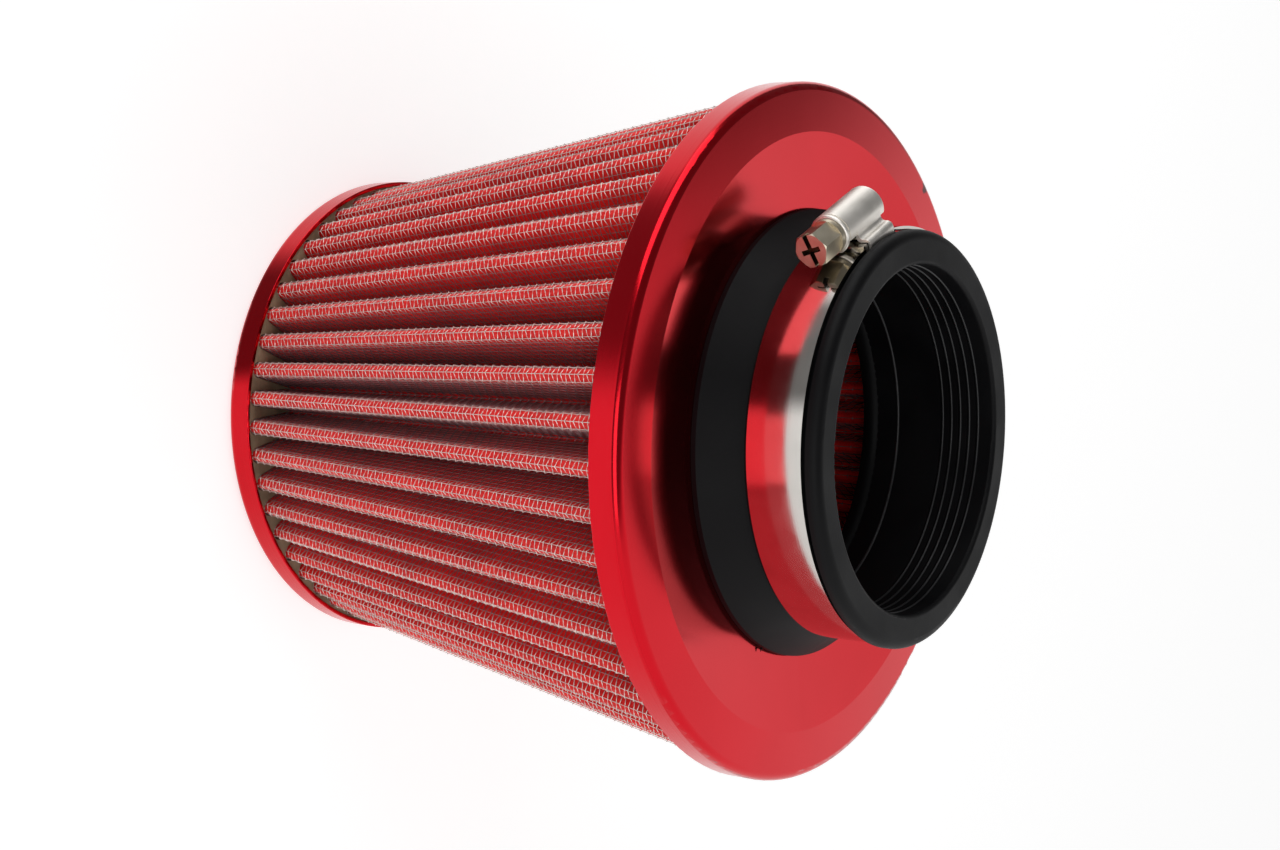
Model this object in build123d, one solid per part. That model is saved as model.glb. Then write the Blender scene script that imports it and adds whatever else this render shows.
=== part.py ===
from build123d import *
import math
import os

# Cone air filter, standing on its narrow end: the cone's axis is Z, the neck points up,
# and the origin is at the middle of the rear cap's flat outer face. Sizes are millimetres.

# Pressed caps
cap_sheet = 1.0
cap_corner = 2.0
cap_edge = 0.25
element_height = 126.8
rear_cap_radius = 57.2
rear_skirt = 6.7
front_cap_radius = 77.75
front_skirt = 7.0
ridge_inset = 10.9
ridge_rise = 0.5
dish_depth = 1.8

# Pleated pack: medium between two layers of wire cloth
pleat_count = 50
strip_count = 10
strip_seam = 0.05
pleat_depth = 15.0
medium_thickness = 0.8
mesh_thickness = 0.35
layer_gap = 0.13
fold_radius = 1.0
rear_tip_gap = 0.3
front_tip_gap = 0.95
first_tip_angle = 270.0

# Cast potting that bonds the pack into the caps
potting_recess = 0.6
pleat_floor = 1.5
bond_gap = 0.05

# Moulded rubber neck
neck_bore_radius = 38.0
neck_wall = 6.0
neck_flange_thickness = 1.5
neck_flange_width = 7.0
cap_hole_overlap = 0.8
collar_width = 5.9
collar_edge = 1.2
collar_height = 9.2
lip_height = 1.5
lip_length = 3.0
lip_round = 2.2
mouth_round = 0.9
groove_count = 5
groove_start = 4.5
groove_pitch = 2.25
groove_width = 0.6
groove_depth = 0.35

# Worm-drive clamp, loose on the neck
clamp_angle = 208.5
band_shift_angle = 190.0
band_width = 12.7
band_thickness = 0.6
band_seat_gap = 0.15
band_lap_gap = 0.03
clamp_side_gap = 0.4
slot_pitch = 2.9
slot_width = 1.2
slot_length = 8.2
slot_slant = 8.0
slotted_length = 70.0

# Clamp housing, pressed from sheet
housing_sheet = 0.6
housing_gap = 0.15
saddle_gap = 0.18
housing_front = 4.6
housing_back = 12.3
housing_fold = 1.9
skirt_front = 0.4
skirt_back = 10.3
skirt_round_share = 0.5
flare_round_share = 0.4
ferrule_length = 1.2
ferrule_round = 0.5
arch_drop = 1.5

# Clamp screw
screw_core_radius = 2.7
screw_thread_depth = 0.9
screw_band_gap = 0.62
thread_bore_gap = 0.3
journal_radius = 2.9
journal_clearance = 0.05
shoulder_radius = 3.3
shoulder_length = 0.8
end_float = 0.25
head_flange_radius = 4.0
head_flange_thickness = 1.2
head_sides = 6
head_across_flats = 6.9
head_turn = 14.0
head_length = 6.6
head_chamfer = 0.2
recess_width = 1.1
recess_depth = 1.6
recess_cross_length = 4.4

full_turn = 360.0
half_turn = 180.0
quarter_turn = 90.0

# Heights and radii that follow from the sizes above
rear_edge = rear_skirt
front_edge = element_height - front_skirt
rear_tip_radius = rear_cap_radius - cap_sheet - rear_tip_gap
front_tip_radius = front_cap_radius - cap_sheet - front_tip_gap
tip_slope = (front_tip_radius - rear_tip_radius) / (front_edge - rear_edge)
pack_half = medium_thickness / 2 + layer_gap + mesh_thickness
half_pitch = half_turn / pleat_count

ridge_radius = front_cap_radius - ridge_inset
ridge_height = element_height + ridge_rise
seat_radius = neck_bore_radius + neck_wall
collar_radius = seat_radius + collar_width
lip_radius = seat_radius + lip_height
cap_hole_radius = seat_radius - cap_hole_overlap
dish_slope = dish_depth / (ridge_radius - collar_radius)
flange_radius = cap_hole_radius + neck_flange_width


def dish_height(radius):
    """Height of the front cap's outer face inside the ridge."""
    return ridge_height - dish_slope * (ridge_radius - radius)


clamp_half_width = band_width / 2 + housing_gap + housing_sheet
neck_base = dish_height(collar_radius)
flange_bottom = dish_height(cap_hole_radius) - cap_sheet - bond_gap - neck_flange_thickness
seat_bottom = neck_base + collar_height
clamp_height = seat_bottom + clamp_side_gap + clamp_half_width
lip_bottom = clamp_height + clamp_half_width + clamp_side_gap
neck_top = lip_bottom + lip_length
pleat_bottom = cap_sheet + pleat_floor
pleat_top = flange_bottom - bond_gap
rear_potting_top = rear_edge - potting_recess
front_potting_bottom = front_edge + potting_recess


def polar(radius, degrees, height=0.0):
    """Point at a radius and an angle about the Z axis."""
    turn = math.radians(degrees)
    return Vector(radius * math.cos(turn), radius * math.sin(turn), height)


def section(points, rounds=()):
    """Face in the XZ plane through (radius, height) points, with some corners rounded."""
    face = make_face(Polyline(*[(r, 0, z) for r, z in points], close=True))
    for corner, radius in rounds:
        spot = Vector(corner[0], 0, corner[1])
        face = fillet(face.vertices().sort_by_distance(spot)[:1], radius)
    return face


def turned(points, rounds=()):
    """Solid of revolution about Z from (radius, height) points."""
    return revolve(section(points, rounds), Axis.Z, full_turn)


# Pressed caps: a flat or dished face with a rounded corner and a short skirt

def rear_cap():
    inner = rear_cap_radius - cap_sheet
    points = [
        (0, 0),
        (rear_cap_radius, 0),
        (rear_cap_radius, rear_skirt),
        (inner, rear_skirt),
        (inner, cap_sheet),
        (0, cap_sheet),
    ]
    rounds = [
        (points[1], cap_corner),
        (points[4], cap_corner - cap_sheet),
        (points[2], cap_edge),
        (points[3], cap_edge),
    ]
    return turned(points, rounds)


def front_cap():
    inner = front_cap_radius - cap_sheet
    hole = cap_hole_radius
    points = [
        (front_cap_radius, front_edge),
        (front_cap_radius, element_height),
        (ridge_radius, ridge_height),
        (hole, dish_height(hole)),
        (hole, dish_height(hole) - cap_sheet),
        (ridge_radius, ridge_height - cap_sheet),
        (inner, element_height - cap_sheet),
        (inner, front_edge),
    ]
    rounds = [
        (points[1], cap_corner),
        (points[6], cap_corner - cap_sheet),
        (points[0], cap_edge),
        (points[7], cap_edge),
    ]
    return turned(points, rounds)


# Pleated pack: every layer is an offset of the medium's middle line, ruled from end to end

def middle_tip_radius(height):
    """Radius of the medium's middle line at a pleat tip."""
    return rear_tip_radius + tip_slope * (height - rear_edge) - pack_half


def fold_turn(height):
    """Centres of a tip fold and the valley fold after it, and the flank's normal between them."""
    tip_radius = middle_tip_radius(height)
    valley_radius = tip_radius - pleat_depth + 2 * pack_half
    tip_centre = polar(tip_radius - fold_radius, 0)
    valley_centre = polar(valley_radius + fold_radius, half_pitch)
    along = valley_centre - tip_centre
    lean = 2 * fold_radius / along.length
    along = along / along.length
    across = Vector(along.Y, -along.X)
    return tip_centre, valley_centre, along * lean + across * math.sqrt(1 - lean * lean)


def half_pleat(offset, height, seam):
    """Outline from the middle of a tip to the middle of the next valley, less half a seam."""
    tip_centre, valley_centre, normal = fold_turn(height)
    tip_arm = fold_radius + offset
    valley_arm = fold_radius - offset
    tip_middle = tip_centre + Vector(tip_arm, 0)
    tip_side = tip_centre + (Vector(1, 0) + normal).normalized() * tip_arm
    inward = polar(-1, half_pitch - math.degrees(math.asin(seam / 2 / valley_arm)))
    valley_side = valley_centre + (inward - normal).normalized() * valley_arm
    valley_middle = valley_centre + inward * valley_arm
    flank = [tip_centre + normal * tip_arm, valley_centre - normal * valley_arm]
    return [tip_middle, tip_side, *flank, valley_side, valley_middle]


def pleat_edges(offset, height, first=0, count=pleat_count):
    """Outline of some pleats at one height, a closed ring if it is all of them."""

    def placed(points, index, mirrored):
        turned_points = []
        for point in points:
            radius = math.hypot(point.X, point.Y)
            angle = math.degrees(math.atan2(point.Y, point.X))
            angle = -angle if mirrored else angle
            angle += first_tip_angle + 2 * half_pitch * index
            turned_points.append(polar(radius, angle, height))
        return turned_points

    edges = []
    is_strip = count < pleat_count
    tip_middle, tip_end, valley_start, valley_side, valley_middle = 0, 2, 3, 4, 5
    seam_half = half_pleat(offset, height, strip_seam)
    half = half_pleat(offset, height, 0)
    if is_strip:
        seam = placed(seam_half, first, True)
        start_arc = (seam[valley_middle], seam[valley_side], seam[valley_start])
        edges.append(Edge.make_three_point_arc(*start_arc))
    for index in range(first, first + count):
        before = placed(half, index, True)
        after = placed(half, index, False)
        edges.append(Edge.make_line(before[valley_start], before[tip_end]))
        edges.append(Edge.make_three_point_arc(before[tip_end], before[tip_middle], after[tip_end]))
        edges.append(Edge.make_line(after[tip_end], after[valley_start]))
        if is_strip and index == first + count - 1:
            seam = placed(seam_half, index, False)
            end_arc = (seam[valley_start], seam[valley_side], seam[valley_middle])
            edges.append(Edge.make_three_point_arc(*end_arc))
        else:
            following = placed(half, index + 1, True)
            valley_arc = (after[valley_start], after[valley_middle], following[valley_start])
            edges.append(Edge.make_three_point_arc(*valley_arc))
    return edges


def pleat_skin(offset, bottom, top, first=0, count=pleat_count):
    """Ruled faces of one pleated surface between two heights."""
    low_edges = pleat_edges(offset, bottom, first, count)
    high_edges = pleat_edges(offset, top, first, count)
    return [Face.make_surface_from_curves(low, high) for low, high in zip(low_edges, high_edges)]


def pleat_ring(outer, inner, height):
    """Flat end face of a pleated layer."""
    return Face(Wire(pleat_edges(outer, height)), [Wire(pleat_edges(inner, height))])


def pleated_layer(outer, inner):
    """One layer of the pack, between two offsets from the medium's middle line."""
    faces = pleat_skin(outer, pleat_bottom, pleat_top) + pleat_skin(inner, pleat_bottom, pleat_top)
    faces += [pleat_ring(outer, inner, pleat_bottom), pleat_ring(outer, inner, pleat_top)]
    return Solid(Shell(faces))


def pleated_strip(outer, inner, first, count):
    """Some pleats of one layer, cut square through the middle of a valley at each side."""
    faces = pleat_skin(outer, pleat_bottom, pleat_top, first, count)
    faces += pleat_skin(inner, pleat_bottom, pleat_top, first, count)
    ends = []
    for height in (pleat_bottom, pleat_top):
        outside = pleat_edges(outer, height, first, count)
        inside = pleat_edges(inner, height, first, count)
        left = Edge.make_line(inside[0] @ 0, outside[0] @ 0)
        right = Edge.make_line(outside[-1] @ 1, inside[-1] @ 1)
        ends.append((left, right))
        faces.append(Face(Wire([left, *outside, right, *inside])))
    for low, high in zip(*ends):
        faces.append(Face.make_surface_from_curves(low, high))
    return Solid(Shell(faces))


def filter_medium():
    """The medium is laid up from strips side by side, with a seam in the valley between them."""
    share = pleat_count // strip_count
    half = medium_thickness / 2
    strips = [pleated_strip(half, -half, index * share, share) for index in range(strip_count)]
    return Compound(children=strips)


def outer_wire_mesh():
    return pleated_layer(pack_half, pack_half - mesh_thickness)


def inner_wire_mesh():
    return pleated_layer(mesh_thickness - pack_half, -pack_half)


# Potting: cast round the ends of the pleats, so it has the pack's own groove

def grooved(plain, open_height, floor_height):
    """Cut the pleated groove into a casting, from one flat face down to the pleats' ends."""
    outer = pack_half + bond_gap
    flats = plain.faces().filter_by(Plane.XY)
    open_face = min(flats, key=lambda face: abs(face.center().Z - open_height))
    faces = [face for face in plain.faces() if not face.is_same(open_face)]
    faces.append(Face(open_face.outer_wire(), [Wire(pleat_edges(outer, open_height))]))
    faces.append(Face(Wire(pleat_edges(-outer, open_height)), list(open_face.inner_wires())))
    low = min(open_height, floor_height)
    high = max(open_height, floor_height)
    faces += pleat_skin(outer, low, high) + pleat_skin(-outer, low, high)
    faces.append(pleat_ring(outer, -outer, floor_height))
    return Solid(Shell(faces))


def rear_potting():
    radius = rear_cap_radius - cap_sheet - bond_gap
    points = [
        (0, cap_sheet),
        (radius - cap_corner, cap_sheet),
        (radius, cap_sheet + cap_corner),
        (radius, rear_potting_top),
        (0, rear_potting_top),
    ]
    return grooved(turned(points), rear_potting_top, pleat_bottom - bond_gap)


def front_potting():
    radius = front_cap_radius - cap_sheet - bond_gap
    bore = seat_radius
    under_cap = cap_sheet + bond_gap
    pocket = flange_radius + bond_gap
    points = [
        (bore, front_potting_bottom),
        (radius, front_potting_bottom),
        (radius, element_height - under_cap - cap_corner),
        (radius - cap_corner, element_height - under_cap),
        (ridge_radius, ridge_height - under_cap),
        (pocket, dish_height(pocket) - under_cap),
        (pocket, flange_bottom - bond_gap),
        (bore, flange_bottom - bond_gap),
    ]
    return grooved(turned(points), front_potting_bottom, pleat_top + bond_gap / 2)


# Rubber neck: moulded in one piece, its flange and collar hold the edge of the cap's hole

def rubber_neck():
    hole = cap_hole_radius - bond_gap
    points = [
        (neck_bore_radius, flange_bottom),
        (flange_radius, flange_bottom),
        (flange_radius, dish_height(flange_radius) - cap_sheet - bond_gap),
        (hole, dish_height(hole) - cap_sheet - bond_gap),
        (hole, dish_height(hole) + bond_gap),
        (collar_radius, neck_base + bond_gap),
        (collar_radius, neck_base + collar_edge),
        (seat_radius, seat_bottom),
        (seat_radius, lip_bottom),
        (lip_radius, lip_bottom),
        (lip_radius, neck_top),
        (neck_bore_radius, neck_top),
    ]
    rounds = [
        (points[10], lip_round),
        (points[11], mouth_round),
    ]
    body = turned(points, rounds)
    for index in range(groove_count):
        height = neck_top - groove_start - index * groove_pitch
        groove = turned([
            (neck_bore_radius - groove_depth, height - groove_width / 2),
            (neck_bore_radius + groove_depth, height - groove_width / 2),
            (neck_bore_radius + groove_depth, height + groove_width / 2),
            (neck_bore_radius - groove_depth, height + groove_width / 2),
        ])
        body -= groove
    return body


# Worm-drive clamp: it hangs loose, touching the seat on the side away from its shift

shift_share = math.cos(math.radians(clamp_angle - band_shift_angle))
saddle_room = housing_sheet + housing_gap + saddle_gap
band_slack = (saddle_room + band_seat_gap * shift_share) / (1 + shift_share)
band_radius = seat_radius + band_slack
layer_step = band_thickness + band_lap_gap
housing_base = band_radius + layer_step + band_thickness
screw_height = housing_base + screw_band_gap + screw_core_radius
barrel_bore = screw_core_radius + screw_thread_depth + thread_bore_gap
barrel_radius = barrel_bore + housing_sheet
ferrule_back = housing_front - ferrule_length
core_front = ferrule_back - end_float - shoulder_length

# Local frame of the clamp: X along the screw towards its head, Y away from the neck's axis
clamp_plane = Plane(
    origin=polar(band_slack - band_seat_gap, band_shift_angle, clamp_height),
    x_dir=polar(1, clamp_angle + quarter_turn),
    z_dir=(0, 0, -1),
)


def in_place(shape):
    """Move a clamp piece from its local frame to the neck."""
    return clamp_plane.location * shape


def rod(radius, start, stop):
    """Cylinder about the screw's axis between two places along it."""
    along_screw = Plane(origin=(start, screw_height, 0), x_dir=(0, 1, 0), z_dir=(1, 0, 0))
    return along_screw.location * extrude(Circle(radius), stop - start)


def band_turn(radius, start, tail):
    """One turn that climbs a layer, as two half circles, then its tail on the upper layer."""
    half_step = layer_step / 2
    return [
        CenterArc((0, 0), radius, start, -half_turn),
        CenterArc(polar(half_step, start), radius + half_step, start - half_turn, -half_turn),
        CenterArc((0, 0), radius + layer_step, start, -tail),
    ]


def clamp_band():
    start = quarter_turn + math.degrees(housing_back / housing_base)
    tail = math.degrees((housing_back + core_front) / housing_base)
    inside = band_turn(band_radius, start, tail)
    outside = band_turn(band_radius + band_thickness, start, tail)
    start_end = Line(inside[0] @ 0, outside[0] @ 0)
    tail_end = Line(inside[2] @ 1, outside[2] @ 1)
    outline = make_face(Wire([*inside, tail_end, *outside, start_end]))
    band = extrude(outline, band_width / 2, both=True)
    for index in range(int(slotted_length / slot_pitch)):
        angle = start - tail + math.degrees((index + 1) * slot_pitch / housing_base)
        past_start = max(angle - start, 0)
        climb = layer_step / 2 * (1 + math.cos(math.radians(past_start)))
        slot = Box(slot_width, band_thickness + band_lap_gap, slot_length)
        slot = Pos(0, band_radius + climb + band_thickness / 2, 0) * Rot(0, slot_slant, 0) * slot
        band -= Rot(0, 0, angle - quarter_turn) * slot
    return in_place(band)


def housing_outline(half_width, arch_radius, shoulder, foot):
    """Cross-section under an arch with legs, shoulders and side skirts, in (axial, radial)."""
    flare_round = flare_round_share * (half_width - arch_radius)
    points = [
        (-half_width, foot),
        (-half_width, shoulder),
        (-arch_radius, shoulder),
        (-arch_radius, screw_height),
        (arch_radius, screw_height),
        (arch_radius, shoulder),
        (half_width, shoulder),
        (half_width, foot),
    ]
    face = make_face(Polyline(*points, close=True))
    for leg in (points[2], points[5]):
        face = fillet(face.vertices().sort_by_distance(Vector(*leg))[:1], flare_round)
    return face + Pos(0, screw_height) * Circle(arch_radius)


def clamp_housing():
    shoulder = housing_base + housing_gap
    fold_outer = band_radius - housing_gap
    fold_inner = fold_outer - housing_sheet
    foot = fold_inner - housing_back
    across = Plane(origin=(-skirt_back, 0, 0), x_dir=(0, 0, -1), z_dir=(1, 0, 0))
    outer = housing_outline(clamp_half_width, barrel_radius, shoulder + housing_sheet, foot)
    skirt_round = skirt_round_share * (clamp_half_width - barrel_radius)
    for side in (-clamp_half_width, clamp_half_width):
        corner = Vector(side, shoulder + housing_sheet)
        outer = fillet(outer.vertices().sort_by_distance(corner)[:1], skirt_round)
    inner = housing_outline(clamp_half_width - housing_sheet, barrel_bore, shoulder, foot)
    skirted = across.location * extrude(outer - inner, skirt_back + skirt_front)
    trim = Cylinder(fold_inner, 2 * clamp_half_width)
    skirted -= trim
    # Folds under the band, one along each edge
    back_angle = math.degrees(skirt_back / housing_base)
    front_angle = math.degrees(skirt_front / housing_base)
    sector = Polyline(
        (0, 0), polar(2 * fold_outer, quarter_turn + back_angle),
        polar(2 * fold_outer, quarter_turn - front_angle), close=True,
    )
    fold_face = (Circle(fold_outer) - Circle(fold_inner)) & make_face(sector)
    fold_height = housing_fold + housing_gap
    fold = extrude(fold_face, fold_height)
    skirt_inside = clamp_half_width - housing_sheet
    housing = skirted + Pos(0, 0, skirt_inside - fold_height) * fold
    housing += Pos(0, 0, -skirt_inside) * fold
    # Barrel past both ends of the skirts: open arches, and a closed ferrule at the head end
    below = 2 * barrel_radius
    arch_foot = screw_height - arch_drop
    for start, stop in ((-housing_back, -skirt_back), (skirt_front, ferrule_back)):
        arch = rod(barrel_radius, start, stop) - rod(barrel_bore, start, stop)
        under = Pos((start + stop) / 2, arch_foot - below / 2, 0) * Box(stop - start, below, below)
        housing += arch - under
    ferrule = rod(barrel_radius, ferrule_back, housing_front)
    ferrule = fillet(ferrule.edges().filter_by(GeomType.CIRCLE), ferrule_round)
    ferrule -= rod(journal_radius + journal_clearance, ferrule_back, housing_front)
    ferrule_foot = housing_base - band_thickness + housing_gap
    under = Pos(ferrule_back + ferrule_length / 2, ferrule_foot - below / 2, 0)
    ferrule -= under * Box(ferrule_length, below, below)
    return in_place(housing + ferrule)


def clamp_screw():
    flange_back = housing_front + end_float
    head_back = flange_back + head_flange_thickness
    head_front = head_back + head_length
    shoulder_back = core_front
    screw = rod(screw_core_radius, -housing_back + housing_sheet, shoulder_back)
    screw += rod(shoulder_radius, shoulder_back, shoulder_back + shoulder_length)
    screw += rod(journal_radius, shoulder_back + shoulder_length, flange_back)
    screw += rod(head_flange_radius, flange_back, head_back)
    head_plane = Plane(origin=(head_back, screw_height, 0), x_dir=(0, 1, 0), z_dir=(1, 0, 0))
    hexagon = RegularPolygon(head_across_flats / 2, head_sides, major_radius=False)
    head = extrude(hexagon, head_length)
    corner_radius = head_across_flats / 2 / math.cos(math.pi / head_sides)
    crown = Cylinder(corner_radius, head_length, align=(Align.CENTER, Align.CENTER, Align.MIN))
    crown = chamfer(crown.edges().sort_by(Axis.Z)[-1:], head_chamfer, 2 * head_chamfer)
    head = head & crown
    recess = Box(2 * corner_radius, recess_width, 2 * recess_depth)
    recess += Box(recess_width, recess_cross_length, 2 * recess_depth)
    head -= Pos(0, 0, head_length) * Rot(0, 0, half_turn / head_sides) * recess
    screw += head_plane.location * Rot(0, 0, -head_turn) * head
    return in_place(screw)


# One STEP file for each piece

pieces = {
    "rear_cap": rear_cap,
    "rear_potting": rear_potting,
    "filter_medium": filter_medium,
    "outer_wire_mesh": outer_wire_mesh,
    "inner_wire_mesh": inner_wire_mesh,
    "front_potting": front_potting,
    "front_cap": front_cap,
    "rubber_neck": rubber_neck,
    "clamp_band": clamp_band,
    "clamp_housing": clamp_housing,
    "clamp_screw": clamp_screw,
}

os.makedirs("parts", exist_ok=True)
for name, make in pieces.items():
    export_step(make(), f"parts/{name}.step")
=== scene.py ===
import math

import bmesh
import bpy
import numpy as np
from mathutils import Matrix, Vector


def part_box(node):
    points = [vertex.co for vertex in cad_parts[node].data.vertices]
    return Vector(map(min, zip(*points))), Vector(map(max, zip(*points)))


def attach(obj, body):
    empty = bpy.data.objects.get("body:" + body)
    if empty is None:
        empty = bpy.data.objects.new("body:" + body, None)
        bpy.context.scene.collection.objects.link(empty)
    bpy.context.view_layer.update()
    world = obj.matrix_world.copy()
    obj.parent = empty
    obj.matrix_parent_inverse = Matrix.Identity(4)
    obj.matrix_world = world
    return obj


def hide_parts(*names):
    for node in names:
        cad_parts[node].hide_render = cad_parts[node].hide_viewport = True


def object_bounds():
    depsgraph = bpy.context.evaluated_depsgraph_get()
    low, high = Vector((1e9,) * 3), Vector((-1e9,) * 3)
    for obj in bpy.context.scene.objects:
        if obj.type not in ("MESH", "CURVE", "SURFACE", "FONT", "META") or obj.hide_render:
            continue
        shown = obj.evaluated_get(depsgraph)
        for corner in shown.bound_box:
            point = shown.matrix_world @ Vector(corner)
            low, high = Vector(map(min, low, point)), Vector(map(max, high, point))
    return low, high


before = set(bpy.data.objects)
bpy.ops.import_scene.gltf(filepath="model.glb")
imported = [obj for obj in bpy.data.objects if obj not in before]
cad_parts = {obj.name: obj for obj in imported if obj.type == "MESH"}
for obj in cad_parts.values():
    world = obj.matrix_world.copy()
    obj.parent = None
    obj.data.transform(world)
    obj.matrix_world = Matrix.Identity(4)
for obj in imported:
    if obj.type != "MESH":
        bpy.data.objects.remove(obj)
cad_low, cad_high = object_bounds()


# Rear cap: a shallow cup pressed from aluminium sheet, turned to a fine satin and dyed red in
# the anodising bath. It closes the narrow end of the cone and is bonded on by the potting.

cap_red = (0.64, 0.008, 0.018, 1.0)
cap_deep_red = (0.58, 0.006, 0.014, 1.0)
cap_smooth = 0.15
cap_rough = 0.20
cap_brushing = 0.4
dye_cloud_scale = 34.0
seal_weight = 0.08
seal_roughness = 0.1
turning_scale = 1500.0
turning_depth = 0.00006
turning_on_skirt = 0.55
turning_on_face = 0.04
skirt_lean = 0.2
face_lean = 0.7
scuff_brown = (0.10, 0.016, 0.018, 1.0)
scuff_place = (-0.0605, 0.0462, 0.1266)
scuff_reach = 0.0034
scuff_grain_scale = 600.0
scuff_bare = 0.85
scuff_end = 1.05
noise_low = 0.3
noise_high = 0.7


def feed(tree, node, inputs):
    """Set a node's inputs: a socket is linked, anything else is the socket's own value."""
    for name, value in inputs.items():
        if isinstance(value, bpy.types.NodeSocket):
            tree.links.new(value, node.inputs[name])
        else:
            node.inputs[name].default_value = value
    return node


def add(tree, kind, inputs=None, **settings):
    """Add a shader node with its settings and inputs."""
    node = tree.nodes.new("ShaderNode" + kind)
    for name, value in settings.items():
        setattr(node, name, value)
    return feed(tree, node, inputs or {})


def new_finish(name):
    """A new node material: the material, its tree and its main shader."""
    finish = bpy.data.materials.new(name)
    finish.use_nodes = True
    return finish, finish.node_tree, finish.node_tree.nodes["Principled BSDF"]


def two_tone(tree, factor, first, second, low=noise_low, high=noise_high):
    """Colour that goes from one tone to another with a texture's value."""
    ramp = add(tree, "ValToRGB", {"Fac": factor})
    ramp.color_ramp.elements[0].position = low
    ramp.color_ramp.elements[0].color = first
    ramp.color_ramp.elements[1].position = high
    ramp.color_ramp.elements[1].color = second
    return ramp.outputs["Color"]


def spread(tree, factor, low, high):
    """A texture's value brought into the range a socket needs."""
    ranged = add(tree, "MapRange", {"Value": factor, "From Min": noise_low, "From Max": noise_high})
    return feed(tree, ranged, {"To Min": low, "To Max": high}).outputs["Result"]


def turned_coordinates(tree):
    """Texture coordinates of a lathe-turned piece: distance from the Z axis, and height."""
    place = add(tree, "TexCoord").outputs["Object"]
    parts = add(tree, "SeparateXYZ", {"Vector": place}).outputs
    flat = add(tree, "CombineXYZ", {"X": parts["X"], "Y": parts["Y"]}).outputs["Vector"]
    radius = add(tree, "VectorMath", {0: flat}, operation="LENGTH").outputs["Value"]
    return place, add(tree, "CombineXYZ", {"X": radius, "Y": parts["Z"]}).outputs["Vector"]


def red_anodised():
    """Red anodised aluminium with turning marks on its skirts, and one scuff on the front cap's rim."""
    finish, tree, shader = new_finish("red_anodised")
    place, ring = turned_coordinates(tree)
    facing = add(tree, "TexCoord").outputs["Normal"]
    upright = add(tree, "SeparateXYZ", {"Vector": facing}).outputs["Z"]
    upright = add(tree, "Math", {0: upright}, operation="ABSOLUTE").outputs["Value"]
    marked = add(tree, "MapRange", {"Value": upright, "From Min": skirt_lean, "From Max": face_lean})
    feed(tree, marked, {"To Min": turning_on_skirt, "To Max": turning_on_face})
    turning = add(tree, "TexNoise", {"Vector": ring, "Scale": turning_scale, "Detail": 5.0, "Roughness": 0.7})
    cloud = add(tree, "TexNoise", {"Vector": place, "Scale": dye_cloud_scale, "Detail": 2.0}).outputs["Fac"]
    bump = add(tree, "Bump", {"Height": turning.outputs["Fac"], "Distance": turning_depth})
    feed(tree, bump, {"Strength": marked.outputs["Result"]})
    tangent = add(tree, "Tangent", direction_type="RADIAL", axis="Z")
    away = add(tree, "VectorMath", {0: place, 1: scuff_place}, operation="DISTANCE").outputs["Value"]
    torn = add(tree, "TexNoise", {"Vector": place, "Scale": scuff_grain_scale, "Detail": 2.0}).outputs["Fac"]
    kept = add(tree, "MapRange", {"Value": away, "From Min": 0.0, "From Max": scuff_reach}).outputs["Result"]
    kept = add(tree, "Math", {0: kept, 1: torn}, operation="ADD").outputs["Value"]
    kept = add(tree, "MapRange", {"Value": kept, "From Min": scuff_bare, "From Max": scuff_end})
    red = two_tone(tree, cloud, cap_deep_red, cap_red)
    scuffed = add(tree, "Mix", {0: kept.outputs["Result"], 6: scuff_brown, 7: red}, data_type="RGBA")
    feed(tree, shader, {
        "Base Color": scuffed.outputs[2],
        "Metallic": 1.0,
        "Roughness": spread(tree, cloud, cap_smooth, cap_rough),
        "Anisotropic": cap_brushing,
        "Tangent": tangent.outputs["Tangent"],
        "Normal": bump.outputs["Normal"],
        "Coat Weight": seal_weight,
        "Coat Roughness": seal_roughness,
    })
    return finish


def dress(node, finish):
    """Give a CAD node its finish."""
    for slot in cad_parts[node].material_slots:
        slot.material = finish


red_metal = red_anodised()
dress("rear_cap", red_metal)


# Potting at the narrow end: khaki polyurethane cast into the cap round the ends of the pleats.
# It sets dull, with a slightly uneven skin where it crept up between the folds.

potting_tan = (0.38, 0.295, 0.19, 1.0)
potting_brown = (0.17, 0.13, 0.08, 1.0)
potting_smooth = 0.5
potting_rough = 0.7
blotch_scale = 160.0
skin_scale = 900.0
skin_depth = 0.0002
skin_strength = 0.4


def cast_potting():
    """Dull cast compound, blotched and with an uneven skin."""
    finish, tree, shader = new_finish("cast_potting")
    place = add(tree, "TexCoord").outputs["Object"]
    blotch = add(tree, "TexNoise", {"Vector": place, "Scale": blotch_scale, "Detail": 4.0}).outputs["Fac"]
    skin = add(tree, "TexNoise", {"Vector": place, "Scale": skin_scale, "Detail": 3.0}).outputs["Fac"]
    bump = add(tree, "Bump", {"Height": skin, "Strength": skin_strength, "Distance": skin_depth})
    feed(tree, shader, {
        "Base Color": two_tone(tree, blotch, potting_brown, potting_tan),
        "Roughness": spread(tree, skin, potting_smooth, potting_rough),
        "Normal": bump.outputs["Normal"],
    })
    return finish


potting = cast_potting()
dress("rear_potting", potting)


# Filter medium: layers of red oiled cotton gauze, folded into deep pleats and glued at the
# seams. The loose threads make a soft open surface that darkens down in the folds.

gauze_red = (0.95, 0.012, 0.010, 1.0)
gauze_dark = (0.68, 0.008, 0.008, 1.0)
gauze_roughness = 0.62
gauze_sheen = 0.1
gauze_sheen_roughness = 0.4
cotton_scale = 2200.0
cotton_depth = 0.00012
cotton_strength = 0.6
oil_patch_scale = 120.0
oil_patch_low = 0.38
oil_patch_high = 0.56


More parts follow.
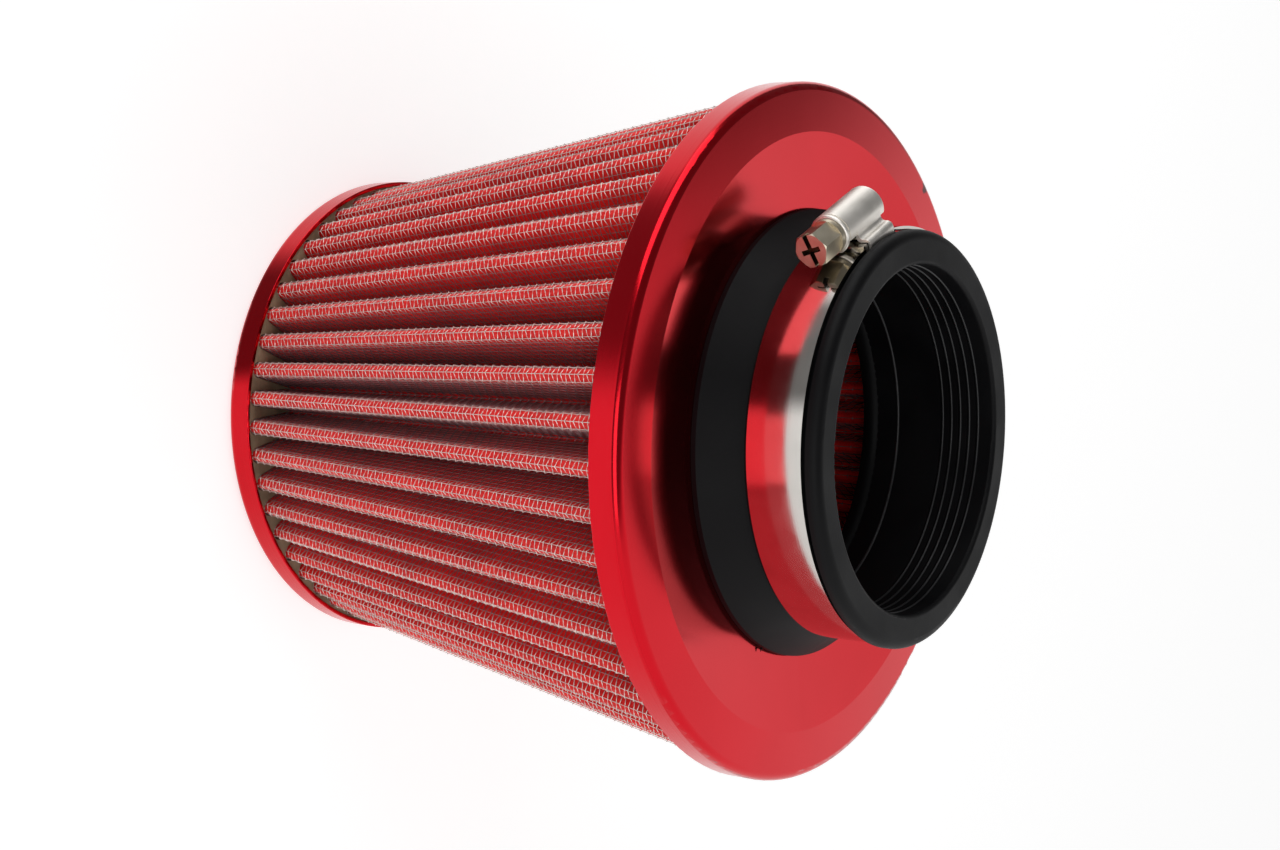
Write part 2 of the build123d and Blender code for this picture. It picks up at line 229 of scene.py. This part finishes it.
def oiled_gauze():
    """Soft cotton threads, darker where the oil has gathered in patches."""
    finish, tree, shader = new_finish("oiled_gauze")
    place = add(tree, "TexCoord").outputs["Object"]
    thread = add(tree, "TexNoise", {"Vector": place, "Scale": cotton_scale, "Detail": 3.0}).outputs["Fac"]
    patch = add(tree, "TexNoise", {"Vector": place, "Scale": oil_patch_scale, "Detail": 3.0}).outputs["Fac"]
    mixed = add(tree, "Math", {0: thread, 1: patch}, operation="ADD").outputs["Value"]
    half = add(tree, "Math", {0: mixed, 1: 0.5}, operation="MULTIPLY").outputs["Value"]
    bump = add(tree, "Bump", {"Height": thread, "Strength": cotton_strength, "Distance": cotton_depth})
    feed(tree, shader, {
        "Base Color": two_tone(tree, half, gauze_dark, gauze_red, oil_patch_low, oil_patch_high),
        "Roughness": gauze_roughness,
        "Sheen Weight": gauze_sheen,
        "Sheen Roughness": gauze_sheen_roughness,
        "Normal": bump.outputs["Normal"],
    })
    return finish


dress("filter_medium", oiled_gauze())


# Outer wire cloth: bright aluminium wire in a plain open weave, pleated with the gauze on the
# dirty-air side. Straight wires run along the pleats, and crimped ones go over and under them.

pleat_count = 50
first_tip = math.radians(270.0)
half_pitch = math.pi / pleat_count
fold_radius = 0.0010
pleat_reach = 0.01324
tip_radius_low = 0.05502
tip_radius_high = 0.07492
tip_low = 0.0067
tip_high = 0.1198
cloth_offset = 0.00064
cloth_bottom = 0.0056
cloth_top = 0.1209
wires_per_half_pleat = 8
wire_pitch = 0.00123
straight_wire_radius = 0.000075
crimped_wire_radius = 0.000115
crimp = 0.00024
rings_per_piece = 24
stops_per_wire = 4
wire_silver = (0.98, 0.92, 0.86, 1.0)
wire_grey = (0.84, 0.76, 0.71, 1.0)
# Painted shade: the wire's colour deep in the folds, where shade falls between the pleats.
fold_shaded_wire = (0.40, 0.30, 0.31, 1.0)
fold_shade_start = 0.0005
fold_shade_full = 0.0026
wire_metal = 0.45
wire_smooth = 0.16
wire_rough = 0.24
tarnish_scale = 420.0
tarnish_low = 0.3
tarnish_high = 0.55


def pleat_line(height, offset, wires):
    """Points and outward normals of the pleated line at one height, from wire to wire."""
    share = (height - tip_low) / (tip_high - tip_low)
    tip_radius = tip_radius_low + share * (tip_radius_high - tip_radius_low)
    tip_centre = np.array([tip_radius - fold_radius, 0.0])
    valley_arm = tip_radius - pleat_reach + fold_radius
    valley_centre = valley_arm * np.array([math.cos(half_pitch), math.sin(half_pitch)])
    along = valley_centre - tip_centre
    reach = np.linalg.norm(along)
    along /= reach
    lean = 2 * fold_radius / reach
    normal = along * lean + np.array([along[1], -along[0]]) * math.sqrt(1 - lean * lean)
    turn = math.atan2(normal[1], normal[0])
    tip_run = turn * (fold_radius + offset)
    valley_run = (turn - half_pitch) * (fold_radius - offset)
    flank_run = reach * math.sqrt(1 - lean * lean)
    spots = np.linspace(0, tip_run + flank_run + valley_run, wires + 1)
    on_tip = np.clip(spots / tip_run, 0, 1)
    on_flank = np.clip((spots - tip_run) / flank_run, 0, 1)
    on_valley = np.clip((spots - tip_run - flank_run) / valley_run, 0, 1)
    facing = turn * on_tip - (turn - half_pitch) * on_valley
    normals = np.stack([np.cos(facing), np.sin(facing)], axis=1)
    tips = tip_centre + normals * fold_radius
    valleys = valley_centre - normals * fold_radius
    start = tip_centre + normal * fold_radius
    stop = valley_centre - normal * fold_radius
    flanks = start + np.outer(on_flank, stop - start)
    points = np.where((spots <= tip_run)[:, None], tips, flanks)
    points = np.where((spots > tip_run + flank_run)[:, None], valleys, points)
    mirror = np.array([1.0, -1.0])
    points = np.concatenate([points, points[-2:0:-1] * mirror])
    normals = np.concatenate([normals, normals[-2:0:-1] * mirror])
    back = np.arange(len(points)) > wires
    ring_points = []
    ring_normals = []
    for index in range(pleat_count):
        angle = first_tip + 2 * half_pitch * (index + back)
        cosine, sine = np.cos(angle), np.sin(angle)
        for source, target in ((points, ring_points), (normals, ring_normals)):
            x = source[:, 0] * cosine - source[:, 1] * sine
            y = source[:, 0] * sine + source[:, 1] * cosine
            target.append(np.stack([x, y], axis=1))
    return np.concatenate(ring_points), np.concatenate(ring_normals)


def drawn_wire(name, lines, radius, closed):
    """Mesh object of round wires along the given lines of points."""
    curve = bpy.data.curves.new(name, "CURVE")
    curve.dimensions = "3D"
    curve.bevel_depth = radius
    curve.bevel_resolution = 0
    curve.use_fill_caps = not closed
    curve.twist_mode = "Z_UP" if closed else "MINIMUM"
    for line in lines:
        spline = curve.splines.new("POLY")
        spline.points.add(len(line) - 1)
        spline.points.foreach_set("co", np.column_stack([line, np.ones(len(line))]).ravel())
        spline.use_cyclic_u = closed
    drawn = bpy.data.objects.new(name, curve)
    mesh = bpy.data.meshes.new_from_object(drawn)
    bpy.data.objects.remove(drawn)
    bpy.data.curves.remove(curve)
    mesh.name = name
    mesh.polygons.foreach_set("use_smooth", np.ones(len(mesh.polygons), bool))
    piece = bpy.data.objects.new(name, mesh)
    bpy.context.scene.collection.objects.link(piece)
    return piece


def woven_cloth(name, offset, node, finish, pitch, wires):
    """Wire cloth on one side of the gauze, as its lengthwise wires and sets of crimped rings."""
    pieces = []
    stops = np.linspace(cloth_bottom, cloth_top, stops_per_wire)
    sections = [pleat_line(height, offset, wires) for height in stops]
    outlines = [points + normals * offset for points, normals in sections]
    lines = []
    for index in range(len(outlines[0])):
        lines.append(np.array([[*outline[index], height] for outline, height in zip(outlines, stops)]))
    pieces.append(drawn_wire(name + "_lengthwise", lines, straight_wire_radius, False))
    rings = []
    heights = np.arange(cloth_bottom, cloth_top, pitch)
    for ring, height in enumerate(heights):
        points, normals = pleat_line(height, offset, wires)
        over = np.where((np.arange(len(points)) + ring) % 2 == 0, crimp, -crimp)
        line = points + normals * (offset + over)[:, None]
        rings.append(np.column_stack([line, np.full(len(line), height)]))
    for first in range(0, len(rings), rings_per_piece):
        number = first // rings_per_piece + 1
        group = rings[first:first + rings_per_piece]
        pieces.append(drawn_wire(f"{name}_rings_{number}", group, crimped_wire_radius, True))
    for piece in pieces:
        piece.data.materials.clear()
        piece.data.materials.append(finish)
        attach(piece, "filter")
        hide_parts(node)


def bright_wire():
    """Aluminium wire with an oxide skin, and painted shade that darkens it down in the folds."""
    finish, tree, shader = new_finish("bright_wire")
    place, ring = turned_coordinates(tree)
    tarnish = add(tree, "TexNoise", {"Vector": place, "Scale": tarnish_scale, "Detail": 2.0}).outputs["Fac"]
    parts = add(tree, "SeparateXYZ", {"Vector": ring}).outputs
    taper = (tip_radius_high - tip_radius_low) / (tip_high - tip_low)
    tip_at_zero = tip_radius_low - taper * tip_low
    tip = add(tree, "Math", {0: parts["Y"], 1: taper, 2: tip_at_zero}, operation="MULTIPLY_ADD")
    depth = add(tree, "Math", {0: tip.outputs["Value"], 1: parts["X"]}, operation="SUBTRACT")
    # Painted shade: the wire darkens with its depth below the pleats' tips.
    fold_shade = add(tree, "MapRange", {"Value": depth.outputs["Value"]}, interpolation_type="SMOOTHSTEP")
    feed(tree, fold_shade, {"From Min": fold_shade_start, "From Max": fold_shade_full})
    clean = two_tone(tree, tarnish, wire_grey, wire_silver, tarnish_low, tarnish_high)
    fold_shaded = add(tree, "Mix", {0: fold_shade.outputs["Result"], 6: clean, 7: fold_shaded_wire}, data_type="RGBA")
    feed(tree, shader, {
        "Base Color": fold_shaded.outputs[2],
        "Metallic": wire_metal,
        "Roughness": spread(tree, tarnish, wire_smooth, wire_rough),
    })
    return finish


wire = bright_wire()
woven_cloth("outer_cloth", cloth_offset, "outer_wire_mesh", wire, wire_pitch, wires_per_half_pleat)


# Inner wire cloth: the same wire in a wider weave on the clean-air side, where it keeps the
# gauze from being drawn into the engine. It is seen only through the neck.

inner_wire_pitch = 0.0026
inner_wires_per_half_pleat = 5
woven_cloth(
    "inner_cloth", -cloth_offset, "inner_wire_mesh", wire, inner_wire_pitch, inner_wires_per_half_pleat
)


# Potting at the wide end and the front cap: the same casting and the same red pressing, here
# a dished ring with a crisp raised ridge and a short rolled skirt over the pleats' ends.

dress("front_potting", potting)
dress("front_cap", red_metal)


# Rubber neck: moulded black rubber that grips the edge of the cap's hole with its flange and
# collar. The clamp seats in its groove, and fine rings in the bore grip the intake pipe.

rubber_black = (0.0020, 0.0020, 0.0026, 1.0)
rubber_grey = (0.0040, 0.0039, 0.0046, 1.0)
rubber_gloss = 0.14
rubber_smooth = 0.48
rubber_rough = 0.60
# Painted highlight: the bore's rings get a lighter rubber colour so that they glint; their higher gloss is
# real.
bead_highlight_dark = (0.012, 0.012, 0.013, 1.0)
bead_highlight_light = (0.026, 0.026, 0.028, 1.0)
bead_gloss = 0.5
bead_smooth = 0.30
bead_rough = 0.40
bloom_scale = 70.0
bloom_low = 0.35
bloom_high = 0.75
grain_scale = 2400.0
grain_depth = 0.00006
grain_strength = 0.25
bore_radius = 0.038
neck_top = cad_high.z
neck_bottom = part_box("rubber_neck")[0].z
ring_count = 5
ring_start = 0.0042
ring_step = 0.00225
ring_bead = 0.00026
ridge_depth = 0.025
ridge_bead = 0.00036
bead_sides = 8
ring_turns = 144
lip_wall = 0.0013
lip_drop = 0.0040
lip_seat = 0.0002
lip_corner = 0.0004
flash_place = Vector((0.0470, -0.0175, 0.1262))
flash_length = 0.0009
flash_width = 0.0003
flash_end_width = flash_width / 4
flash_sides = 8
merge_reach = 1e-7


def moulded_rubber(name, dark, light, gloss, smooth, rough):
    """Matt black rubber with a little bloom and the mould's fine grain."""
    finish, tree, shader = new_finish(name)
    place = add(tree, "TexCoord").outputs["Object"]
    bloom = add(tree, "TexNoise", {"Vector": place, "Scale": bloom_scale, "Detail": 4.0}).outputs["Fac"]
    grain = add(tree, "TexNoise", {"Vector": place, "Scale": grain_scale, "Detail": 2.0}).outputs["Fac"]
    bump = add(tree, "Bump", {"Height": grain, "Strength": grain_strength, "Distance": grain_depth})
    feed(tree, shader, {
        "Base Color": two_tone(tree, bloom, dark, light, bloom_low, bloom_high),
        "Roughness": spread(tree, bloom, smooth, rough),
        "Specular IOR Level": gloss,
        "Normal": bump.outputs["Normal"],
    })
    return finish


def finished_piece(name, shape, finish, body):
    """Make a bmesh into an object with its finish, and let it ride on a body."""
    mesh = bpy.data.meshes.new(name)
    bmesh.ops.remove_doubles(shape, verts=shape.verts, dist=merge_reach)
    bmesh.ops.recalc_face_normals(shape, faces=shape.faces)
    shape.to_mesh(mesh)
    shape.free()
    mesh.polygons.foreach_set("use_smooth", np.ones(len(mesh.polygons), bool))
    mesh.materials.append(finish)
    piece = bpy.data.objects.new(name, mesh)
    bpy.context.scene.collection.objects.link(piece)
    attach(piece, body)


def spun_ring(shape, outline):
    """Spin a closed outline of radius and height pairs round the neck's axis."""
    corners = [shape.verts.new((radius, 0, height)) for radius, height in outline]
    edges = [shape.edges.new((corners[i - 1], corners[i])) for i in range(len(corners))]
    bmesh.ops.spin(
        shape, geom=corners + edges, cent=(0, 0, 0), axis=(0, 0, 1),
        steps=ring_turns, angle=2 * math.pi, use_merge=True,
    )


def bead(radius, height):
    """Outline of a round bead on the wall of the bore."""
    turns = [2 * math.pi * side / bead_sides for side in range(bead_sides)]
    return [(bore_radius + radius * math.cos(turn), height + radius * math.sin(turn)) for turn in turns]


def bore_rings():
    """Raised edges of the five gripping rings, and the ridge where the bore ends."""
    rings = bmesh.new()
    for index in range(ring_count):
        spun_ring(rings, bead(ring_bead, neck_top - ring_start - index * ring_step))
    spun_ring(rings, bead(ridge_bead, neck_top - ridge_depth))
    return rings


def inner_lip():
    """Thin lip that the bore runs down into inside the filter."""
    lip = bmesh.new()
    top = neck_bottom + lip_seat
    foot = neck_bottom - lip_drop
    outer = bore_radius + lip_wall
    spun_ring(lip, [
        (bore_radius, top),
        (bore_radius, foot + lip_corner),
        (bore_radius + lip_corner, foot),
        (outer - lip_corner, foot),
        (outer, foot + lip_corner),
        (outer, top),
    ])
    return lip


def mould_flash():
    """A tag of flash left at the mould's parting line, on the collar's lower edge."""
    tag = bmesh.new()
    outward = Vector((flash_place.x, flash_place.y, 0)).normalized()
    lying = outward.to_track_quat("Z", "X").to_matrix().to_4x4()
    middle = Matrix.Translation(flash_place + outward * flash_length / 2)
    bmesh.ops.create_cone(
        tag, cap_ends=True, segments=flash_sides, radius1=flash_width, radius2=flash_end_width,
        depth=flash_length, matrix=middle @ lying,
    )
    return tag


rubber = moulded_rubber(
    "moulded_rubber", rubber_black, rubber_grey, rubber_gloss, rubber_smooth, rubber_rough
)
# Finish of the bore's rings, with a painted highlight in its lighter colour.
highlit_bead_rubber = moulded_rubber(
    "highlit_bead_rubber", bead_highlight_dark, bead_highlight_light, bead_gloss, bead_smooth, bead_rough
)
dress("rubber_neck", rubber)
finished_piece("bore_rings", bore_rings(), highlit_bead_rubber, "filter")
finished_piece("inner_lip", inner_lip(), rubber, "filter")
finished_piece("mould_flash", mould_flash(), rubber, "filter")


# Clamp band: half-inch stainless strip, slotted for the worm along its tail and left polished.
# It lies loose round the neck's seat, its tail lapped over its start under the housing.

strip_steel = (0.58, 0.56, 0.53, 1.0)
strip_shade = (0.52, 0.50, 0.47, 1.0)
strip_smooth = 0.07
strip_rough = 0.11
rolling_scale = 3400.0
rolling_depth = 0.00002
rolling_strength = 0.08
polish_scale = 150.0
polish_low = 0.25
polish_high = 0.6


def polished_steel(name, light, shade, smooth, rough):
    """Bright metal with fine lines round the neck and some uneven polish."""
    finish, tree, shader = new_finish(name)
    place, ring = turned_coordinates(tree)
    lines = add(tree, "TexNoise", {"Vector": ring, "Scale": rolling_scale, "Detail": 3.0}).outputs["Fac"]
    cloud = add(tree, "TexNoise", {"Vector": place, "Scale": polish_scale, "Detail": 3.0}).outputs["Fac"]
    bump = add(tree, "Bump", {"Height": lines, "Strength": rolling_strength, "Distance": rolling_depth})
    feed(tree, shader, {
        "Base Color": two_tone(tree, cloud, shade, light, polish_low, polish_high),
        "Metallic": 1.0,
        "Roughness": spread(tree, cloud, smooth, rough),
        "Normal": bump.outputs["Normal"],
    })
    return finish


strip = polished_steel("polished_strip", strip_steel, strip_shade, strip_smooth, strip_rough)
dress("clamp_band", strip)


# Clamp housing: stainless sheet pressed over the screw as a barrel, its skirts folded round the
# edges of the band. The end is drawn in to a ferrule that holds the screw's journal.

housing_steel = (0.96, 0.92, 0.86, 1.0)
housing_shade = (0.86, 0.82, 0.76, 1.0)
housing_smooth = 0.38
housing_rough = 0.50
pressing = polished_steel("pressed_housing", housing_steel, housing_shade, housing_smooth, housing_rough)
dress("clamp_housing", pressing)


# Clamp screw: a cold-headed steel screw with a flanged hexagon head, slotted and cross-cut,
# plated in warm nickel. Its coarse worm thread runs in the slots of the band.

nickel = (0.70, 0.63, 0.50, 1.0)
nickel_shade = (0.52, 0.455, 0.34, 1.0)
nickel_smooth = 0.28
nickel_rough = 0.38
screw_point = Vector((-0.043544484, -0.023498185, 0.1422))
screw_axis = Vector((0.4771588, -0.8788171, 0.0))
screw_corners = [corner.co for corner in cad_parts["clamp_screw"].data.vertices]
head_face = max((corner - screw_point).dot(screw_axis) for corner in screw_corners)
recess_reach = 0.0033
recess_middle = 0.00090
recess_half = 0.00078
# Painted shade: the colour of the driver recess in the screw's head.
recess_shade_colour = (0.07, 0.05, 0.03, 1.0)
thread_start = -0.0112
thread_pitch = 0.0029
thread_turns = 4.3
thread_root = 0.00262
thread_crest = 0.0035
thread_root_half = 0.00075
thread_crest_half = 0.00028
thread_steps = 36


def worm_thread():
    """Helical ridge spun round the screw's core."""
    across = Vector((0.0, 0.0, 1.0))
    profile = [
        (-thread_root_half, thread_root),
        (-thread_crest_half, thread_crest),
        (thread_crest_half, thread_crest),
        (thread_root_half, thread_root),
    ]
    thread = bmesh.new()
    start = screw_point + screw_axis * thread_start
    corners = [thread.verts.new(start + screw_axis * x + across * r) for x, r in profile]
    face = thread.faces.new(corners)
    steps = round(thread_turns * thread_steps)
    bmesh.ops.spin(
        thread, geom=[face], cent=start, axis=screw_axis, steps=steps,
        dvec=screw_axis * (thread_pitch / thread_steps), angle=thread_turns * 2 * math.pi,
    )
    return thread


def shade_recess(finish):
    """Paint shade into the driver recess in the screw's head."""
    tree = finish.node_tree
    shader = tree.nodes["Principled BSDF"]
    plate = shader.inputs["Base Color"].links[0].from_socket
    place = add(tree, "TexCoord").outputs["Object"]
    arm = add(tree, "VectorMath", {0: place, 1: screw_point}, operation="SUBTRACT").outputs["Vector"]
    along = add(tree, "VectorMath", {0: arm, 1: screw_axis}, operation="DOT_PRODUCT").outputs["Value"]
    around = add(tree, "VectorMath", {0: arm, 1: screw_axis}, operation="CROSS_PRODUCT").outputs["Vector"]
    radius = add(tree, "VectorMath", {0: around}, operation="LENGTH").outputs["Value"]
    heart = add(tree, "Math", {0: radius, 1: recess_reach}, operation="LESS_THAN").outputs["Value"]
    sunk = {0: along, 1: head_face - recess_middle, 2: recess_half}
    sunk = add(tree, "Math", sunk, operation="COMPARE").outputs["Value"]
    recess_shade = add(tree, "Math", {0: heart, 1: sunk}, operation="MULTIPLY").outputs["Value"]
    recess_shaded = add(tree, "Mix", {0: recess_shade, 6: plate, 7: recess_shade_colour}, data_type="RGBA")
    feed(tree, shader, {"Base Color": recess_shaded.outputs[2]})


nickel_plate = polished_steel("nickel_plate", nickel, nickel_shade, nickel_smooth, nickel_rough)
shade_recess(nickel_plate)
dress("clamp_screw", nickel_plate)
finished_piece("worm_thread", worm_thread(), nickel_plate, "screw")


# Studio: a white floor under the filter, a broad soft light from above the way the filter lies
# in the photograph, weaker light from the other sides, and the camera at the photograph's place.

white = (1.0, 1.0, 1.0, 1.0)
floor_half = 6.0
floor_drop = 0.0004
floor_grey = (0.62, 0.62, 0.62, 1.0)
floor_dark = (0.02, 0.02, 0.02, 1.0)
floor_glow = 0.63
dark_from = Vector((0.0, -0.040, -floor_drop))
dark_towards = Vector((-0.731, -0.682, 0.0))
dark_edge = 0.76
dark_heart = 0.92
dark_share = 0.8
cap_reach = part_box("rear_cap")[1].x
object_middle = Vector((0.0, 0.0, 0.075))
key_from = Vector((-0.922, -0.349, 0.170))
key_distance = 0.9
key_size = 0.9
key_power = 5.4
fill_from = Vector((0.15, -0.82, 0.56))
fill_distance = 1.2
fill_size = 0.7
fill_power = 3.0
paper_white = 1.0
room_grey = 0.16
paper_edge = -0.15
room_edge = 0.02
camera_place = Vector((-0.00494, -0.39220, 0.34569))
camera_forward = Vector((0.01227, 0.82683, -0.56232))
camera_up = Vector((-0.99812, -0.02365, -0.05656))
camera_sensor = 36.0
camera_lens = 56.25
camera_near = 0.01


def studio_floor():
    """White paper that keeps the shadow, with a dim wedge that only polished metal mirrors."""
    floor_mesh = bmesh.new()
    bmesh.ops.create_grid(floor_mesh, x_segments=1, y_segments=1, size=floor_half)
    bmesh.ops.translate(floor_mesh, vec=(0, 0, -floor_drop), verts=floor_mesh.verts)
    mesh = bpy.data.meshes.new("floor")
    floor_mesh.to_mesh(mesh)
    floor_mesh.free()
    floor = bpy.data.objects.new("floor", mesh)
    bpy.context.scene.collection.objects.link(floor)
    finish, tree, shader = new_finish("white_paper")
    tree.nodes.remove(shader)
    path = add(tree, "LightPath").outputs
    place = add(tree, "TexCoord").outputs["Object"]
    arm = add(tree, "VectorMath", {0: place, 1: dark_from}, operation="SUBTRACT").outputs["Vector"]
    arm = add(tree, "VectorMath", {0: arm}, operation="NORMALIZE").outputs["Vector"]
    aim = add(tree, "VectorMath", {0: arm, 1: dark_towards}, operation="DOT_PRODUCT").outputs["Value"]
    fall = add(tree, "MapRange", {"Value": aim}, interpolation_type="SMOOTHSTEP")
    feed(tree, fall, {"From Min": dark_edge, "From Max": dark_heart, "To Min": 0.0, "To Max": dark_share})
    reach = add(tree, "VectorMath", {0: place}, operation="LENGTH").outputs["Value"]
    clear_of_cap = add(tree, "Math", {0: reach, 1: cap_reach}, operation="GREATER_THAN").outputs["Value"]
    dim = add(tree, "Math", {0: fall.outputs["Result"], 1: path["Is Glossy Ray"]}, operation="MULTIPLY")
    dim = add(tree, "Math", {0: dim.outputs["Value"], 1: clear_of_cap}, operation="MULTIPLY")
    seen = add(tree, "Math", {0: path["Is Camera Ray"], 1: path["Is Glossy Ray"]}, operation="MAXIMUM")
    lift = add(tree, "Math", {0: seen.outputs["Value"], 1: floor_glow}, operation="MULTIPLY")
    diffuse = add(tree, "BsdfDiffuse", {"Color": floor_grey}).outputs["BSDF"]
    glow = add(tree, "Emission", {"Color": white, "Strength": lift.outputs["Value"]}).outputs["Emission"]
    lit = add(tree, "AddShader", {0: diffuse, 1: glow}).outputs["Shader"]
    unlit = add(tree, "BsdfDiffuse", {"Color": floor_dark}).outputs["BSDF"]
    paper = add(tree, "MixShader", {0: dim.outputs["Value"], 1: lit, 2: unlit}).outputs["Shader"]
    clear = add(tree, "BsdfTransparent").outputs["BSDF"]
    below = add(tree, "NewGeometry").outputs["Backfacing"]
    both = add(tree, "MixShader", {0: below, 1: paper, 2: clear}).outputs["Shader"]
    feed(tree, tree.nodes["Material Output"], {"Surface": both})
    floor.data.materials.append(finish)


def soft_light(name, direction, distance, size, power):
    """A square soft box that faces the middle of the filter."""
    lamp = bpy.data.lights.new(name, "AREA")
    lamp.shape = "SQUARE"
    lamp.size = size
    lamp.energy = power
    holder = bpy.data.objects.new(name, lamp)
    holder.location = object_middle + direction.normalized() * distance
    holder.rotation_euler = direction.to_track_quat("Z", "Y").to_euler()
    bpy.context.scene.collection.objects.link(holder)


def studio_world():
    """White paper below the way the filter lies in the photograph, and a grey room above it."""
    world = bpy.data.worlds.new("studio")
    world.use_nodes = True
    tree = world.node_tree
    facing = add(tree, "TexCoord").outputs["Generated"]
    height = add(tree, "VectorMath", {0: facing, 1: key_from.normalized()}, operation="DOT_PRODUCT")
    room = add(tree, "MapRange", {"Value": height.outputs["Value"]}, interpolation_type="SMOOTHSTEP")
    feed(tree, room, {"From Min": paper_edge, "From Max": room_edge})
    feed(tree, room, {"To Min": paper_white, "To Max": room_grey})
    path = add(tree, "LightPath").outputs
    seen = add(tree, "Math", {0: path["Is Camera Ray"], 1: path["Is Transmission Ray"]}, operation="MAXIMUM")
    strength = add(tree, "Math", {0: seen.outputs["Value"], 1: room.outputs["Result"]}, operation="MAXIMUM")
    feed(tree, tree.nodes["Background"], {"Color": white, "Strength": strength.outputs["Value"]})
    bpy.context.scene.world = world


def photo_camera():
    """The camera at the photograph's place, on its side as the filter stands here."""
    camera = bpy.data.cameras.new("camera")
    camera.sensor_width = camera_sensor
    camera.lens = camera_lens
    camera.clip_start = camera_near
    holder = bpy.data.objects.new("camera", camera)
    forward = camera_forward.normalized()
    right = forward.cross(camera_up).normalized()
    up = right.cross(forward)
    turn = Matrix((right, up, -forward)).transposed().to_4x4()
    holder.matrix_world = Matrix.Translation(camera_place) @ turn
    bpy.context.scene.collection.objects.link(holder)
    bpy.context.scene.camera = holder


studio_floor()
soft_light("key", key_from, key_distance, key_size, key_power)
soft_light("fill", fill_from, fill_distance, fill_size, fill_power)
studio_world()
photo_camera()
bpy.context.scene.view_settings.view_transform = "Standard"
